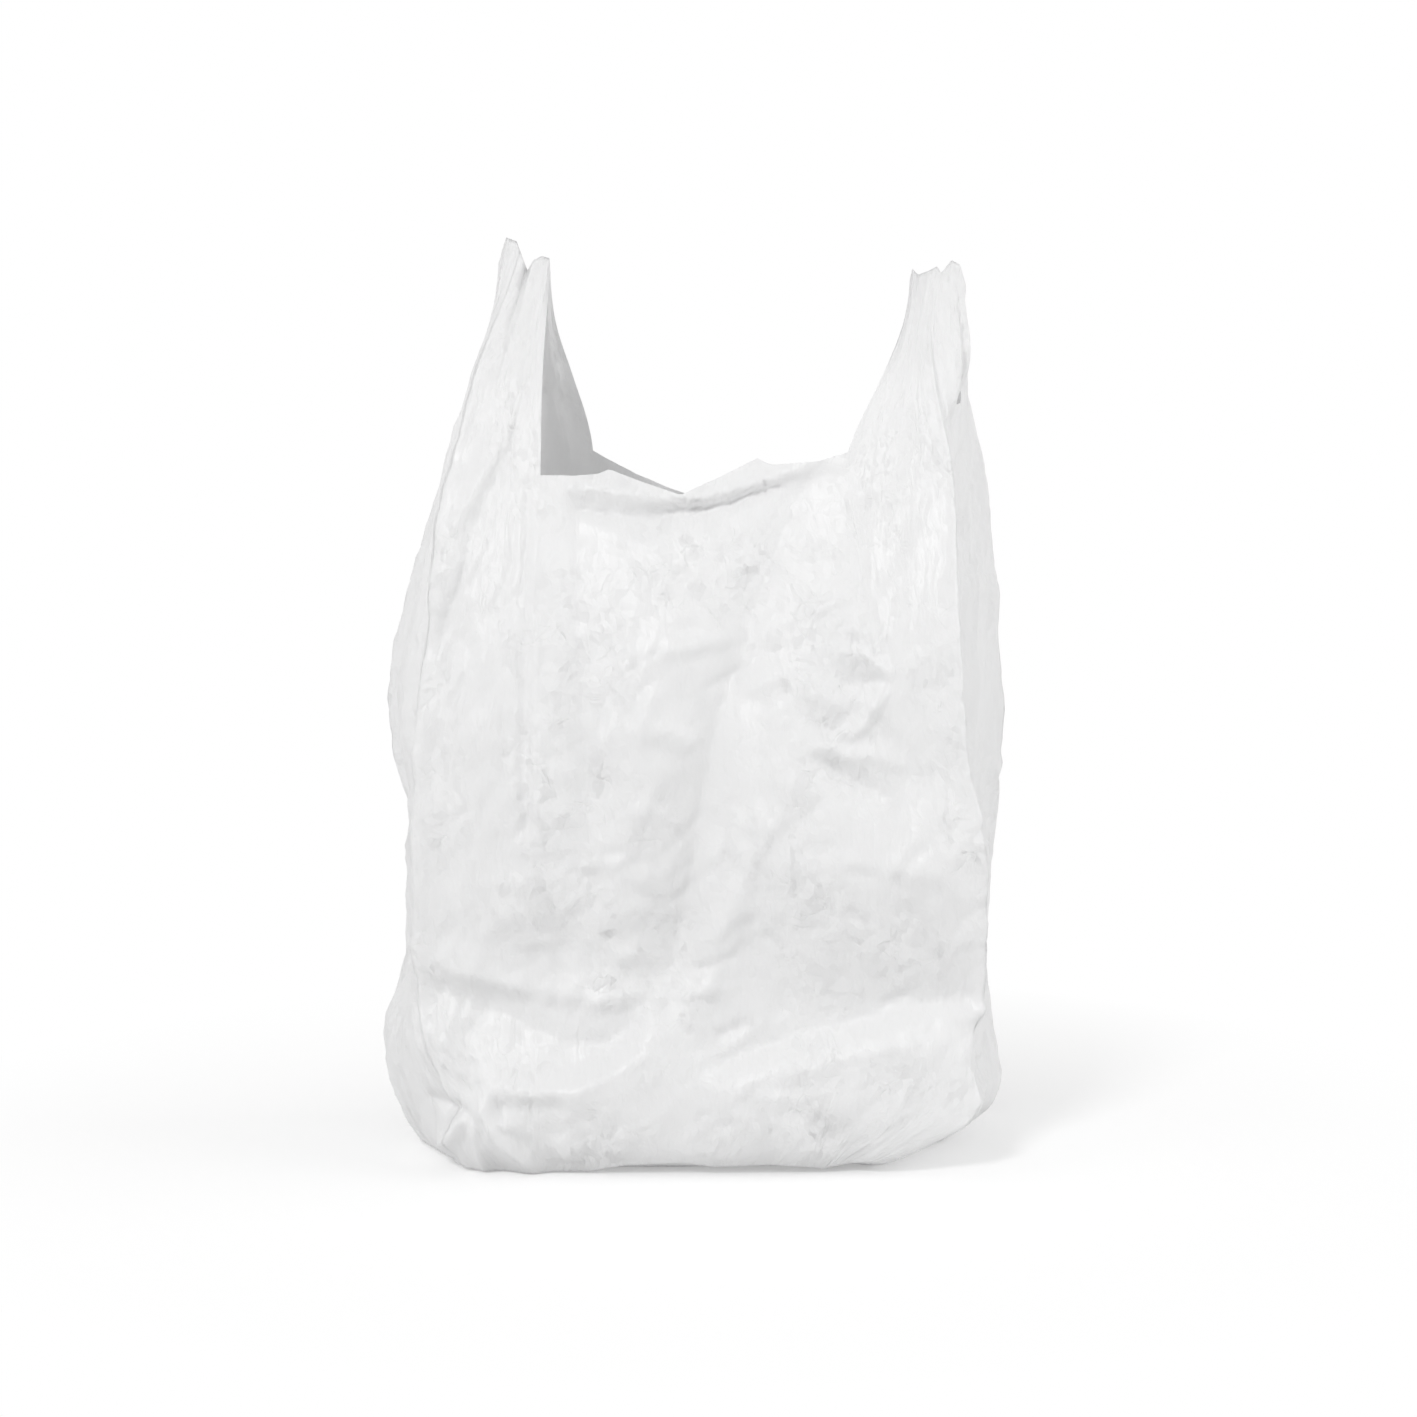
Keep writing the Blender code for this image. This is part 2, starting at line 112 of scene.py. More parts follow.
# Sealed top of each handle: share across it, then x, y and height of the seal
HANDLE_TOPS = {
    "left": (
        (0, -72, 2, 431), (0.1, -72, -2, 437), (0.24, -76, 1, 438), (0.36, -80, -1, 436),
        (0.44, -83, 2, 431), (0.5, -85, -2, 437), (0.62, -88, 1, 445), (0.76, -93, -1, 447),
        (0.88, -95, 2, 441), (1, -97, 0, 434),
    ),
    "right": (
        (0, 102, 1, 427), (0.12, 103, -2, 432), (0.2, 106, 1, 429), (0.38, 111, -1, 431),
        (0.52, 115, 1, 433), (0.58, 117, -2, 430), (0.75, 122, 1, 436), (0.88, 126, -1, 434),
        (1, 129, 0, 424),
    ),
}

# Powers by which a strap gathers towards its top and closes from front to back
HANDLE_GATHER = 2.2
HANDLE_CLOSING = 3

# Slot of each handle: how far it opens to front and back, and how far in x the front and the
# back strap shift beside it
SLOT_OPENING = 8.0
SLOT_SHIFT = {"left": (-1, 4), "right": (7, -1)}

# Long creases running up into the handles: column, height, half widths in columns to the
# lower and higher side, and the heights they start and end at. They fade over GATHER_FADE
GATHERS = (
    (-0.3, 3, 1.0, 0.9, 190, 432), (1.6, 1.5, 0.8, 1.2, 250, 425), (3.8, -1.5, 0.9, 0.8, 330, 415),
    (5.1, -2, 0.5, 0.4, 370, 405), (-2.4, -3, 1.0, 1.3, 120, 345), (-4.2, 3, 1.2, 1.0, 150, 400),
    (21.0, 1.5, 2.0, 1.6, 300, 430), (23.7, 3, 2.2, 0.5, 190, 428), (24.7, -2.5, 0.7, 1.1, 320, 430),
    (27.2, 4, 2.2, 0.6, 345, 432), (28.2, -3, 0.6, 1.4, 300, 432), (26.4, 3, 1.0, 1.2, 110, 330),
    (32.5, 3, 1.2, 1.2, 150, 430), (37.4, 3, 1.2, 1.2, 150, 420), (40.2, -3, 1.1, 1.1, 250, 430),
    (55.4, -3, 0.8, 1.0, 330, 432), (56.8, 4, 1.0, 1.0, 320, 432), (58.4, -4, 1.0, 1.0, 320, 432),
    (62.6, 4, 1.3, 1.3, 150, 430),
)
GATHER_FADE = 45

# Large folds of the front, each a line of (x, z) points, its height out of the panel, and
# how far it reaches to the left and to the right of the line's direction
FRONT_FOLDS = (
    (((-75, 420), (-75, 290), (-74, 230), (-74, 185), (-72, 112)), 9, 17, 45),
    (((-58, 330), (-59, 280), (-57, 245), (-54, 205), (-50, 155)), -5, 32, 18),
    (((-85, 428), (-85, 380), (-92, 352), (-104, 333), (-114, 313), (-121, 270)), 8, 9, 20),
    (((-67, 331), (-45, 329), (-25, 327), (5, 325), (20, 329), (44, 337), (60, 344)), 5, 9, 5),
    (((-70, 323), (-45, 319), (-27, 317), (2, 321), (20, 326), (44, 334), (58, 341)), -7, 5, 12),
    (((56, 344), (46, 321), (35, 299), (27, 274), (18, 247), (8, 226), (1, 185), (-5, 140),
      (-14, 100), (-20, 78)), -11, 27, 34),
    (((58, 222), (46, 196), (39, 178), (27, 161), (16, 135), (7, 112), (0, 92), (-6, 70)), 7.5, 18, 26),
    (((-6, 286), (14, 302), (38, 324)), 3, 24, 22),
    (((84, 330), (81, 300), (80, 262)), -3, 14, 14),
    (((14, 160), (60, 150), (95, 152), (130, 146)), 9, 46, 60),
    (((-4, 51), (20, 60), (44, 70), (81, 78), (105, 84), (140, 88)), -6, 30, 9),
    (((8, 44), (40, 54), (85, 64), (126, 68)), 5, 12, 34),
    (((74, 1), (84, 5), (105, 14), (140, 32)), 6, 16, 5),
    (((138, 80), (139, 38)), -8, 7, 9),
    (((-18, 92), (-22, 77), (-27, 64), (-41, 53), (-57, 47), (-79, 45), (-97, 48), (-108, 54)),
     10, 26, 10),
    (((-145, 98), (-124, 91), (-102, 83), (-83, 74), (-64, 67), (-46, 66), (-24, 80)), -6, 14, 24),
    (((-126, 103), (-84, 93), (-50, 88), (-22, 91)), 4, 18, 8),
    (((-100, 37), (-80, 36), (-60, 38)), -4, 7, 13),
)

# Small creases and facets of the front, written in the same way
FRONT_CREASES = (
    (((-87, 326), (-88, 286)), -1.5, 4, 4),
    (((-81, 335), (-81, 165)), -2.2, 4, 5),
    (((-90, 380), (-91, 335)), -1.2, 5, 4),
    (((-81, 400), (-77, 376)), -1.5, 3, 4),
    (((49, 273), (66, 278)), 3, 10, 5),
    (((66, 268), (84, 262)), 4.5, 10, 6),
    (((60, 257), (77, 254), (91, 242)), 6, 9, 8),
    (((65, 242), (88, 239)), -3, 6, 12),
    (((20, 236), (41, 246), (66, 230)), 3, 10, 7),
    (((72, 213), (89, 242)), 6, 8, 5),
    (((52, 213), (80, 231)), -3, 8, 7),
    (((52, 209), (70, 198), (80, 191), (92, 185)), -5, 6, 16),
    (((60, 207), (85, 206), (99, 198)), 2.5, 8, 6),
    (((41, 247), (52, 236)), -1.5, 3, 3),
    (((45, 283), (50, 274), (39, 266)), -1.8, 4, 4),
    (((-15, 288), (-5, 292)), -1.5, 3, 4),
    (((-22, 311), (-15, 284), (-7, 267)), 2.5, 8, 7),
    (((-21, 254), (1, 259), (20, 263)), 3, 8, 6),
    (((1, 237), (24, 248)), -2, 3, 4),
    (((-19, 242), (-30, 214)), 3, 7, 6),
    (((-33, 216), (-14, 219), (-2, 210)), 3.5, 7, 8),
    (((-48, 203), (-45, 215), (-35, 225)), 1.5, 6, 9),
    (((-70, 205), (-60, 210)), -1.5, 3, 3),
    (((-32, 273), (-36, 238)), 2, 5, 5),
    (((-24, 260), (-28, 238)), 2, 4, 4),
    (((-28, 190), (-24, 164)), 2.5, 8, 14),
    (((-47, 160), (-33, 160)), -2, 4, 4),
    (((-76, 121), (-62, 122)), -1.8, 5, 8),
    (((-47, 115), (-39, 122)), -1.2, 4, 5),
    (((-46, 106), (-30, 109), (-13, 104)), 3, 12, 6),
    (((-55, 86), (-40, 87), (-27, 90), (1, 91), (14, 96)), 2, 6, 6),
    (((-5, 101), (11, 107), (20, 111)), -2, 4, 5),
    (((12, 173), (15, 157), (21, 150)), -1.2, 3, 3),
    (((44, 124), (60, 123)), -2, 4, 4),
    (((30, 123), (44, 110)), -2, 3, 4),
    (((68, 152), (86, 149)), -2.2, 4, 4),
    (((66, 132), (84, 126)), -2, 4, 5),
    (((90, 152), (98, 141)), -2, 4, 4),
    (((8, 68), (24, 77)), -2.5, 4, 5),
    (((84, 83), (104, 90)), -2.5, 4, 5),
    (((102, 62), (114, 78)), -2, 5, 5),
    (((44, 66), (49, 48), (50, 38)), -2, 3, 4),
    (((40, 38), (60, 24), (80, 6)), -2.5, 12, 12),
    (((-111, 34), (-127, 4)), 6, 6, 6),
    (((-111, 34), (-102, -4)), 6, 7, 5),
    (((-109, 33), (-144, 34)), -5, 6, 6),
    (((-108, 44), (-97, 20), (-74, -4)), 8, 8, 10),
    (((-103, 42), (-100, 34), (-95, 28), (-86, 26)), 3.5, 5, 5),
    (((-128, 75), (-118, 58), (-108, 44)), 4, 8, 8),
    (((-112, 48), (-124, 62)), 4, 9, 7),
    (((-60, 8), (-66, 24)), 3, 9, 9),
)

# Folds: power of the fall beside the crest, radius of the crest, and the run-out at each end,
# which is at least this long and this many times the height
FOLD_SHARPNESS = 1.25
FOLD_ROUND = 0.4
FOLD_TAPER = 10.0
FOLD_TAPER_SHARE = 4.0

# The front's folds reach this many columns past its edges and fade over the last ones, and
# end between these heights
FRONT_MARGIN = 3
FRONT_FADE = 2
FRONT_END = (410, 440)

# Crumples all over: cell size across and up, height, and the seed of the pattern. Cells under
# SHARP_BELOW across are creases in place of bumps
CRUMPLES = ((46, 60, 6.5, 3), (25, 31, 4, 8), (14, 17, 2, 14), (7, 8, 0.8, 21))
SHARP_BELOW = 20

# Patches of calmer and more crumpled film: their size, least share, range of shares and seed
PATCH_SIZE = 75
PATCH_LEAST = 0.45
PATCH_RANGE = 0.9
PATCH_SEED = 2

# Calm film: up to this height above the floor, and by a share between two heights of the straps
CALM_FLOOR = 25
CALM_STRAPS = (300, 390)
CALM_SHARE = 0.65

# Floor edge: how far the film lifts off the floor, by column
FLOOR_LIFT = (
    (0, 1), (4, 0), (8, 1), (9.5, 5), (12, 6.5), (13.5, 4), (16, 5), (19, 2), (22, 6), (25, 5),
    (28, 0), (34, 2), (38, 0), (46, 3), (52, 0), (58, 2), (64, 0), (70, 2), (72, 1),
)

# Share of the base over which the film comes down to the floor
FLOOR_MARGIN = 0.12

# Bottom seal: its lift off the floor, how wide it is, the share of the base that its branches
# take at each end, how far they spread, and how far in from the edge it starts
SEAL_LIFT = 2.5
SEAL_HALF_WIDTH = 7.0
SEAL_ENDS = 0.28
SEAL_SPREAD = 0.42
SEAL_START = 0.2

# Where the base lies on the flat film: this far below the tube
BASE_BELOW = 100

# Film: tones, roughness, refraction, and the share and tone of the light that passes through
FILM_TONES = ((0.86, 0.86, 0.862, 1), (0.92, 0.92, 0.921, 1))
FILM_ROUGHNESS = (0.34, 0.5)
FILM_IOR = 1.5
THROUGH_SHARE = 0.16
THROUGH_TONE = (0.9, 0.9, 0.9, 1)

# Clouds of calm and crumpled film: noise per metre, the values of it between which crumpling
# and roughness change, and the least share of crumpling
CLOUD_SCALE = 16
CLOUD_CRUMPLED = (0.4, 0.6)
CLOUD_ROUGH = (0.3, 0.7)
CRUMPLED_LEAST = 0.2

# Facets and hard crease lines as (cells per metre, strength), the lines' width as a share of a
# cell, how far in metres their edges wander, and the noise per metre that moves them
FACETS = ((60, 0.23), (140, 0.33), (300, 0.33))
CREASE_LINES = ((50, 0.8), (120, 0.5))
CREASE_WIDTH = 0.06
FACET_DRIFT = 0.014
DRIFT_SCALE = 45

# Crease lines are broken by this noise per metre, shown between these values of it
BREAK_SCALE = 70
BREAK_RANGE = (0.52, 0.62)

# Upright streaks of stretched film, per metre across and up, and fine grain, with their heights
STREAKS = (240.0, 22.0, 1.0)
STREAK_HEIGHT = 2.4
GRAIN_SCALE = 900
GRAIN_HEIGHT = 0.12
BUMP_STRENGTH = 0.5
BUMP_DISTANCE = 0.0006

# Floor: tone that lights the bag, tone and glow that the camera sees near the bag, the reach
# in metres over which it turns white, its size and its gap below the bag
FLOOR_TONE = (0.85, 0.85, 0.85, 1)
FLOOR_SEEN = (0.73, 0.73, 0.73, 1)
FLOOR_GLOW = 0.32
FLOOR_FADE = (0.15, 0.42)
FLOOR_HALF = 12.0
FLOOR_GAP = 0.0003

# Soft light all round, and suns: name, degrees left of the front, degrees up, strength, and
# spread in degrees
SKY_STRENGTH = 0.55
SUNS = (("key", 24, 38, 1.06, 12), ("right", -80, 25, 1.0, 50), ("left", 70, 25, 0.38, 50))
LIGHT_TARGET = (0, 0, 0.2)
LIGHT_DISTANCE = 3

# Camera: how high it looks from, how far off, where it aims, and the frame's width there
CAMERA_ELEVATION = 8.0
CAMERA_DISTANCE = 2.1
CAMERA_TARGET = (0.0064, 0.0, 0.2175)
FRAME_WIDTH = 0.6942


def smooth_curve(knots, values, at):
    """Smooth curve through the knots."""
    knots = np.asarray(knots, float)
    values = np.asarray(values, float)
    slopes = np.gradient(values, knots)
    at = np.clip(at, knots[0], knots[-1])
    k = np.clip(np.searchsorted(knots, at, side="right") - 1, 0, len(knots) - 2)
    span = knots[k + 1] - knots[k]
    t = (at - knots[k]) / span
    return (
        (2 * t**3 - 3 * t**2 + 1) * values[k]
        + (t**3 - 2 * t**2 + t) * span * slopes[k]
        + (3 * t**2 - 2 * t**3) * values[k + 1]
        + (t**3 - t**2) * span * slopes[k + 1]
    )


def smooth_step(low, high, at):
    t = np.clip((at - low) / (high - low), 0, 1)
    return t * t * (3 - 2 * t)


def pairs(table, at):
    """Straight-line reading of a table of (place, value) pairs."""
    return np.interp(at, *zip(*table))


def outline(column, z):
    """Plan position (x, y) of the smooth bag at each column and height."""
    column = column % COLUMNS
    keys = sorted(LINES_X)
    lines = np.array([smooth_curve(HEIGHTS, LINES_X[k], z) for k in keys + [0]])
    around = np.array(keys + [COLUMNS])
    k = np.clip(np.searchsorted(around, column, side="right") - 1, 0, len(keys) - 1)
    t = (column - around[k]) / (around[k + 1] - around[k])
    n = np.arange(len(column))
    x = lines[k, n] * (1 - t) + lines[k + 1, n] * t
    side = (FRONT_LEFT, FRONT_RIGHT, RIGHT_FOLD, BACK_RIGHT, BACK_LEFT, LEFT_FOLD, COLUMNS)
    y = smooth_curve(HEIGHTS, CORNER_DEPTH, z) * np.interp(column, side, (-1, -1, 0, 1, 1, 0, -1))
    front = np.clip(column / FRONT_RIGHT, 0, 1)
    back = np.clip((column - BACK_RIGHT) / (BACK_LEFT - BACK_RIGHT), 0, 1)
    y -= smooth_curve(HEIGHTS, FRONT_BULGE, z) * 4 * front * (1 - front)
    y += smooth_curve(HEIGHTS, BACK_BULGE, z) * 4 * back * (1 - back)
    return np.stack((x, y), -1)


def outward(column, z):
    """Horizontal direction out of the film."""
    along = outline(column + 1, z) - outline(column - 1, z)
    normal = np.stack((along[:, 1], -along[:, 0]), -1)
    return normal / np.linalg.norm(normal, axis=1)[:, None]


def fold(points, height, left, right, x, z):
    """Height of one fold over the places (x, z): a crest that falls away to each side."""
    line = np.array(points, float)
    total = np.linalg.norm(np.diff(line, axis=0), axis=1).sum()
    nearest = np.full(x.shape, np.inf)
    side = np.ones(x.shape)
    along = np.zeros(x.shape)
    done = 0.0
    for a, b in zip(line, line[1:]):
        step = b - a
        length = np.linalg.norm(step)
        t = np.clip(((x - a[0]) * step[0] + (z - a[1]) * step[1]) / length**2, 0, 1)
        dx, dz = x - a[0] - t * step[0], z - a[1] - t * step[1]
        distance = np.hypot(dx, dz)
        closer = distance < nearest
        nearest = np.where(closer, distance, nearest)
        side = np.where(closer, step[0] * dz - step[1] * dx, side)
        along = np.where(closer, done + t * length, along)
        done += length
    reach = np.where(side > 0, left, right)
    nearest = np.hypot(nearest, FOLD_ROUND) - FOLD_ROUND
    slope = np.clip(1 - nearest / reach, 0, 1) ** FOLD_SHARPNESS
    fade = min(max(FOLD_TAPER, FOLD_TAPER_SHARE * abs(height)), total / 3)
    taper = np.clip(np.minimum(along, total - along) / fade, 0, 1)
    return height * slope * taper * (2 - taper)


def scatter(i, j, seed):
    """Repeatable number between 0 and 1 for each lattice point."""
    value = np.sin(i * 127.1 + j * 311.7 + seed * 74.7) * 43758.5453
    return value - np.floor(value)


def crumple(s, z, across, up, height, seed):
    """Facets between scattered points, closed round the tube."""
    count = round(COLUMNS * COLUMN_WIDTH / across)
    u, v = s / (COLUMNS * COLUMN_WIDTH) * count, z / up
    i0, j0 = np.floor(u), np.floor(v)
    result = np.zeros(s.shape)
    found = np.zeros(s.shape, bool)

    def corner(i, j):
        wrapped = i % count
        px = i + 0.5 + 0.8 * (scatter(wrapped, j, seed) - 0.5)
        pz = j + 0.5 + 0.8 * (scatter(wrapped, j, seed + 5) - 0.5)
        return px, pz, scatter(wrapped, j, seed + 11) - 0.5

    for di in (-1, 0, 1):
        for dj in (-1, 0, 1):
            i, j = i0 + di, j0 + dj
            for a, b, c in (((0, 0), (1, 0), (1, 1)), ((0, 0), (1, 1), (0, 1))):
                ax, az, ah = corner(i + a[0], j + a[1])
                bx, bz, bh = corner(i + b[0], j + b[1])
                cx, cz, ch = corner(i + c[0], j + c[1])
                area = (bx - ax) * (cz - az) - (bz - az) * (cx - ax)
                wb = ((u - ax) * (cz - az) - (v - az) * (cx - ax)) / area
                wc = ((bx - ax) * (v - az) - (bz - az) * (u - ax)) / area
                inside = (wb >= 0) & (wc >= 0) & (wb + wc <= 1) & ~found
                result = np.where(inside, ah + wb * (bh - ah) + wc * (ch - ah), result)
                found |= inside
    return height * result


def patches(s, z):
    """Share of crumpling, changing smoothly from calm to crumpled areas."""
    count = round(COLUMNS * COLUMN_WIDTH / PATCH_SIZE)
    u, v = s / (COLUMNS * COLUMN_WIDTH) * count, z / PATCH_SIZE
    i, j = np.floor(u), np.floor(v)
    a, b = smooth_step(0, 1, u - i), smooth_step(0, 1, v - j)

    def across(row):
        left = scatter(i % count, row, PATCH_SEED)
        right = scatter((i + 1) % count, row, PATCH_SEED)
        return left * (1 - a) + right * a

    return PATCH_LEAST + PATCH_RANGE * (across(j) * (1 - b) + across(j + 1) * b)


def relief(column, z, plan):
    """How far folds, gathers and crumples push the film out at each place."""
    column = column % COLUMNS
    out = np.zeros(z.shape)
    front = np.minimum(column, FRONT_RIGHT - column)
    front = np.where(column > COLUMNS - FRONT_MARGIN, column - COLUMNS, front)
    front = np.clip((front + FRONT_MARGIN) / FRONT_FADE, 0, 1)
    front *= np.clip((FRONT_END[1] - z) / (FRONT_END[1] - FRONT_END[0]), 0, 1)
    for table in (FRONT_FOLDS, FRONT_CREASES):
        folds = np.array([fold(*line, plan[:, 0], z) for line in table])
        out += front * (folds.max(0) + folds.min(0))
    for centre, height, low, high, start, end in GATHERS:
        away = (column - centre + COLUMNS / 2) % COLUMNS - COLUMNS / 2
        across = np.clip(1 - np.abs(away) / np.where(away < 0, low, high), 0, 1)
        rise = np.clip((z - start) / GATHER_FADE, 0, 1) * np.clip((end - z) / GATHER_FADE, 0, 1)
        out += height * across * rise
    calm = smooth_step(0, CALM_FLOOR, z) * (1 - CALM_SHARE * smooth_step(*CALM_STRAPS, z))
    calm = calm * patches(column * COLUMN_WIDTH, z)
    for across, up, height, seed in CRUMPLES:
        facets = crumple(column * COLUMN_WIDTH, z, across, up, height, seed)
        out += calm * (np.abs(facets) * 2 if across < SHARP_BELOW else facets)
    return out


def film(column, z):
    """Points of the folded film."""
    plan = outline(column, z)
    out = relief(column, z, plan)
    plan = plan + outward(column, z) * out[:, None]
    return np.column_stack((plan, z))


def body(column, row):
    """Film between the floor and the level of the mouth."""
    rise = (row / BODY_ROWS) ** ROW_GROWTH
    low = pairs(FLOOR_LIFT, column % COLUMNS)
    high = pairs(MOUTH_EDGE, column % COLUMNS)
    return film(column, low + (high - low) * rise)


def handle(side, column, row):
    """Film of a strap, from the level of the mouth to the sealed handle top."""
    rise = (row - BODY_ROWS) / HANDLE_ROWS
    middle = LEFT_FOLD if side == "left" else RIGHT_FOLD
    away = np.abs((column - middle + COLUMNS / 2) % COLUMNS - COLUMNS / 2)
    share = 1 - (away - SLOT_COLUMNS) / STRAP_COLUMNS
    places = np.array(HANDLE_TOPS[side]).T
    top = np.array([np.interp(share, places[0], places[k]) for k in (1, 2, 3)])
    start = pairs(MOUTH_EDGE, column % COLUMNS)
    z = start + (top[2] - start) * rise
    x, y, _ = film(column, z).T
    near_slot = math.sin(math.pi * rise) * np.clip(2 * share - 1, 0, 1)
    back = (column % COLUMNS > RIGHT_FOLD) & (column % COLUMNS < LEFT_FOLD)
    front_shift, back_shift = SLOT_SHIFT[side]
    x = x + np.where(back, back_shift, front_shift) * near_slot
    y = y + np.where(back, SLOT_OPENING, -SLOT_OPENING) * near_slot
    gather = rise**HANDLE_GATHER
    closing = math.sqrt(max(0.0, 1 - rise**HANDLE_CLOSING))
    return np.stack((x + (top[0] - x) * gather, y * closing + top[1] * gather, z), -1)


def steps(low, high):
    """Fine column numbers from low to high, both included."""
    direction = 1 if high > low else -1
    return np.array([low + direction * k / FINE for k in range(abs(high - low) * FINE + 1)])


def straps():
    """Columns of each strap, from the mouth side to the outside."""
    reach, slot = HANDLE_COLUMNS, SLOT_COLUMNS
    return (
        ("left", True, steps(COLUMNS + reach, LEFT_FOLD + slot)),
        ("left", False, steps(BACK_LEFT - reach, LEFT_FOLD - slot)),
        ("right", False, steps(FRONT_RIGHT - reach, RIGHT_FOLD - slot)),
        ("right", True, steps(BACK_RIGHT + reach, RIGHT_FOLD + slot)),
    )


def base_patch(loop):
    """Bottom of the bag, spanning the floor loop, with the raised seal across it."""
    across, deep = FRONT_RIGHT * FINE, (BACK_RIGHT - FRONT_RIGHT) * FINE
    front = loop[: across + 1]
    right = loop[across : across + deep + 1]
    back = loop[BACK_RIGHT * FINE : BACK_LEFT * FINE + 1][::-1]
    left = np.vstack((loop[:1], loop[BACK_LEFT * FINE :][::-1]))
    u = np.linspace(0, 1, across + 1)[:, None, None]
    v = np.linspace(0, 1, deep + 1)[None, :, None]
    points = (
        (1 - v) * front[:, None] + v * back[:, None] + (1 - u) * left[None] + u * right[None]
        - (1 - u) * (1 - v) * front[0] - u * (1 - v) * front[-1]
        - (1 - u) * v * back[0] - u * v * back[-1]
    )
    u, v = u[:, :, 0], v[:, :, 0]
    edge = np.minimum(np.minimum(u, 1 - u) * 2, np.minimum(v, 1 - v)) / FLOOR_MARGIN
    points[:, :, 2] *= np.clip(1 - edge, 0, 1)
    depth = points[:, -1:, 1] - points[:, :1, 1]
    ends = np.clip((SEAL_ENDS - np.minimum(u, 1 - u)) / SEAL_ENDS, 0, 1)
    seal = 0.5 + SEAL_SPREAD * ends * np.sign(v - 0.5)
    near = np.clip(1 - np.abs(v - seal) * depth / SEAL_HALF_WIDTH, 0, 1)
    points[:, :, 2] += SEAL_LIFT * near * np.clip(edge - SEAL_START, 0, 1)
    return points


def bag_surface():
    """Vertices and quads of the film's outer face, and each vertex's place on the flat film."""
    vertices, flat, faces, index = [], [], [], {}
    ring = COLUMNS * FINE
    columns = np.arange(ring) / FINE

    def add(key, point, place):
        if key not in index:
            index[key] = len(vertices)
            vertices.append(point)
            flat.append(place)
        return index[key]

    for row in range(BODY_ROWS + 1):
        for c, point in enumerate(body(columns, row)):
            add((c, row), point, (columns[c] * COLUMN_WIDTH, point[2]))
    for row in range(BODY_ROWS):
        for c in range(ring):
            d = (c + 1) % ring
            faces.append((index[c, row], index[d, row], index[d, row + 1], index[c, row + 1]))

    top_row = BODY_ROWS + HANDLE_ROWS
    for side, flip, strap in straps():
        keys = [round(c * FINE) % ring for c in strap]
        grid = [[index[c, BODY_ROWS] for c in keys]]
        for row in range(BODY_ROWS + 1, top_row + 1):
            points = handle(side, strap, row)
            line = []
            for k, (c, point) in enumerate(zip(keys, points)):
                key = (side, k) if row == top_row else (c, row)
                line.append(add(key, point, ((c / FINE) * COLUMN_WIDTH, point[2])))
            grid.append(line)
        for low, high in zip(grid, grid[1:]):
            for k in range(len(strap) - 1):
                quad = (low[k], low[k + 1], high[k + 1], high[k])
                faces.append(quad[::-1] if flip else quad)

    patch = base_patch(np.array(vertices[:ring]))
    across, deep = patch.shape[0] - 1, patch.shape[1] - 1

    def base_index(i, j):
        if j == 0:
            return index[i, 0]
        if i == across:
            return index[across + j, 0]
        if j == deep:
            return index[BACK_LEFT * FINE - i, 0]
        if i == 0:
            return index[ring - j, 0]
        place = (patch[i, j, 0], patch[i, j, 1] - BASE_BELOW)
        return add(("base", i, j), patch[i, j], place)

    for i in range(across):
        for j in range(deep):
            quad = (base_index(i, j), base_index(i, j + 1), base_index(i + 1, j + 1))
            faces.append(quad + (base_index(i + 1, j),))
    return np.array(vertices), np.array(flat), faces


def fitted(vertices):
    """Stands the film where the frame's own bag stands."""
    low, high = (np.array(corner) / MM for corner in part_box("bag_film"))
    mid = (vertices.min(0) + vertices.max(0)) / 2
    want = (low + high) / 2
    return vertices + (want[0] - mid[0], want[1] - mid[1], low[2] - vertices[:, 2].min())


def look_at(obj, target):
    obj.rotation_euler = (Vector(target) - obj.location).to_track_quat("-Z", "Y").to_euler()


def new_material(name):
    material = bpy.data.materials.new(name)
    material.use_nodes = True
    material.node_tree.nodes.clear()
    return material, material.node_tree


def maths(tree, operation, first, second=None, value=None):
    """Maths node fed by one or two sockets, or by a socket and a plain number."""
    node = tree.nodes.new("ShaderNodeMath")
    node.operation = operation
    tree.links.new(first, node.inputs[0])
    if second is not None:
        tree.links.new(second, node.inputs[1])
    if value is not None:
        node.inputs[1].default_value = value
    return node.outputs[0]


def vectors(tree, operation, first, second=None, value=None, scale=None):
    """Vector node, used in the same way."""
    node = tree.nodes.new("ShaderNodeVectorMath")
    node.operation = operation
    tree.links.new(first, node.inputs[0])
    if second is not None:
        tree.links.new(second, node.inputs[1])
    if value is not None:
        node.inputs[1].default_value = value
    if scale is not None:
        node.inputs["Scale"].default_value = scale
    return node.outputs[0]


def spread(tree, value, low, high, to_low, to_high):
    """Range of a value, mapped to another range."""
    node = tree.nodes.new("ShaderNodeMapRange")
    tree.links.new(value, node.inputs["Value"])
    for name, number in zip(("From Min", "From Max", "To Min", "To Max"), (low, high, to_low, to_high)):
        node.inputs[name].default_value = number
    return node.outputs["Result"]


def noise(tree, place, scale, detail):
    node = tree.nodes.new("ShaderNodeTexNoise")
    node.inputs["Scale"].default_value = scale
    node.inputs["Detail"].default_value = detail
    tree.links.new(place, node.inputs["Vector"])
    return node


def cells(tree, place, scale, feature="F1"):
    node = tree.nodes.new("ShaderNodeTexVoronoi")
    node.voronoi_dimensions = "2D"
    node.feature = feature
    node.inputs["Scale"].default_value = scale
    tree.links.new(place, node.inputs["Vector"])
    return node


def centred(tree, colour):
    """Colour of a texture as a direction, evenly spread round nothing."""
    return vectors(tree, "SUBTRACT", colour, value=(0.5, 0.5, 0.5))


